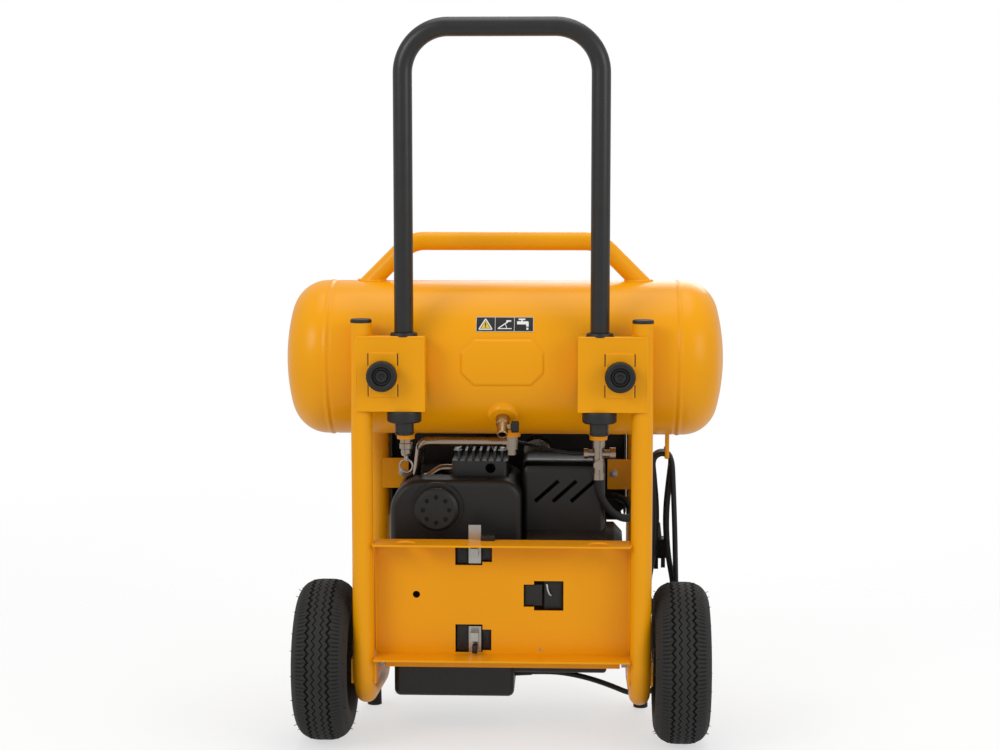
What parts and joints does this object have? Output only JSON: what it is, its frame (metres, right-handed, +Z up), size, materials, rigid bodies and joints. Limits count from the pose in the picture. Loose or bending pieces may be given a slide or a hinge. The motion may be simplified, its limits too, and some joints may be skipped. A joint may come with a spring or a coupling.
{
  "type": "portable air compressor",
  "caption": "Wheeled air compressor: horizontal tank between welded tube loops, direct-drive pump below, telescopic pull handle and front console.",
  "frame": {"origin": "on the floor, under the middle of the bounding box (the tank axis is straight above it)", "axes": "+Z up, +X to the right of somebody standing behind the machine at the pull handle, +Y from the handle towards the front console"},
  "size_m": [0.602, 0.37, 0.98],
  "materials": {
    "yellow_paint": "gloss powder coat",
    "black_paint": "satin",
    "black_plastic": "fine grain",
    "rubber": "matt",
    "tyre": "moulded tread",
    "nickel": "satin nickel",
    "steel": "zinc plated",
    "bare_tube": "satin",
    "gauge_black": "gloss",
    "glass": "clear",
    "needle_red": "matt",
    "filter_felt": "felt"
  },
  "bodies": {
    "chassis": {"air_hose": "rubber", "base_plate": "yellow_paint", "carry_handle": "yellow_paint", "check_valve": "nickel", "clamp_bracket_left": "yellow_paint", "clamp_bracket_right": "yellow_paint", "cord_hank": "rubber", "cord_plug": "rubber", "coupler_body": "nickel", "crank_bearings": "steel", "crankcase": "bare_tube", "cylinder": "bare_tube", "cylinder_head": "bare_tube", "discharge_tube": "bare_tube", "drain_elbow": "nickel", "filter_cap": "black_plastic", "filter_element": "filter_felt", "front_console": "black_plastic", "front_feet": "rubber", "gauge_cases": "gauge_black", "gauge_lenses": "glass", "guide_collars": "black_plastic", "manifold": "nickel", "motor_housing": "black_paint", "motor_shroud": "black_plastic", "piston_rod": "bare_tube", "power_cord": "rubber", "pressure_switch": "black_plastic", "pump_shroud": "black_plastic", "rear_panel": "yellow_paint", "regulator_body": "nickel", "rubber_mounts": "rubber", "safety_valve": "nickel", "side_loop_left": "yellow_paint", "side_loop_right": "yellow_paint", "spring_clips": "steel", "stator": "steel", "strain_relief": "rubber", "tank_shell": "yellow_paint", "tube_caps": "black_plastic", "unloader_tube": "rubber", "wheel_axles": "steel"},
    "handle": {"handle_tube": "black_paint", "handle_plugs": "black_plastic"},
    "wheel_right": {"tyre_right": "tyre", "rim_right": "black_plastic"},
    "wheel_left": {"tyre_left": "tyre", "rim_left": "black_plastic"},
    "knob_right": {"clamp_knob_right": "black_plastic"},
    "knob_left": {"clamp_knob_left": "black_plastic"},
    "drain_tap": {"drain_knob": "black_plastic"},
    "crank": {"crankshaft": "steel", "rotor": "steel", "cooling_fan": "black_plastic"},
    "safety_pull": {"safety_ring": "steel"},
    "pressure_knob": {"regulator_knob": "black_plastic"},
    "power_lever": {"switch_lever": "black_plastic"},
    "tank_hand": {"tank_needle": "needle_red"},
    "outlet_hand": {"outlet_needle": "needle_red"},
    "quick_sleeve": {"coupler_sleeve": "nickel"}
  },
  "joints": [
    {"name": "handle_slide", "type": "slide", "parent": "chassis", "child": "handle", "axis": [0, 0, -1], "range_m": [0, 0.3]},
    {"name": "wheel_right_spin", "type": "hinge", "parent": "chassis", "child": "wheel_right", "pos_m": [0.247, -0.075, 0.11], "axis": [1, 0, 0], "continuous": true},
    {"name": "wheel_left_spin", "type": "hinge", "parent": "chassis", "child": "wheel_left", "pos_m": [-0.247, -0.075, 0.11], "axis": [1, 0, 0], "continuous": true},
    {"name": "knob_right_turn", "type": "hinge", "parent": "chassis", "child": "knob_right", "pos_m": [0.1565, -0.15, 0.512], "axis": [0, -1, 0], "range_deg": [0, 720]},
    {"name": "knob_left_turn", "type": "hinge", "parent": "chassis", "child": "knob_left", "pos_m": [-0.1565, -0.15, 0.512], "axis": [0, -1, 0], "range_deg": [0, 720]},
    {"name": "drain_turn", "type": "hinge", "parent": "chassis", "child": "drain_tap", "pos_m": [0.0118, -0.09401, 0.43735], "axis": [1, 0, 0], "range_deg": [0, 360]},
    {"name": "crank_spin", "type": "hinge", "parent": "chassis", "child": "crank", "pos_m": [0, 0.03, 0.215], "axis": [1, 0, 0], "continuous": true},
    {"name": "safety_ring_pull", "type": "slide", "parent": "chassis", "child": "safety_pull", "axis": [0, 0, -1], "range_m": [0, 0.003], "stiffness_N_per_m": 1500},
    {"name": "pressure_knob_turn", "type": "hinge", "parent": "chassis", "child": "pressure_knob", "pos_m": [0, 0.175, 0.327], "axis": [0, 1, 0], "range_deg": [0, 1080]},
    {"name": "power_lever_turn", "type": "hinge", "parent": "chassis", "child": "power_lever", "pos_m": [-0.058, 0.17, 0.327], "axis": [0, 1, 0], "range_deg": [0, 90]},
    {"name": "tank_needle_turn", "type": "hinge", "parent": "chassis", "child": "tank_hand", "pos_m": [-0.042, 0.168, 0.366], "axis": [0, -1, 0], "range_deg": [0, 270], "stiffness_Nm_per_rad": 0.002},
    {"name": "outlet_needle_turn", "type": "hinge", "parent": "chassis", "child": "outlet_hand", "pos_m": [0.042, 0.168, 0.366], "axis": [0, -1, 0], "range_deg": [0, 270], "stiffness_Nm_per_rad": 0.002},
    {"name": "coupler_sleeve_pull", "type": "slide", "parent": "chassis", "child": "quick_sleeve", "axis": [0, -1, 0], "range_m": [0, 0.0035], "stiffness_N_per_m": 600}
  ]
}
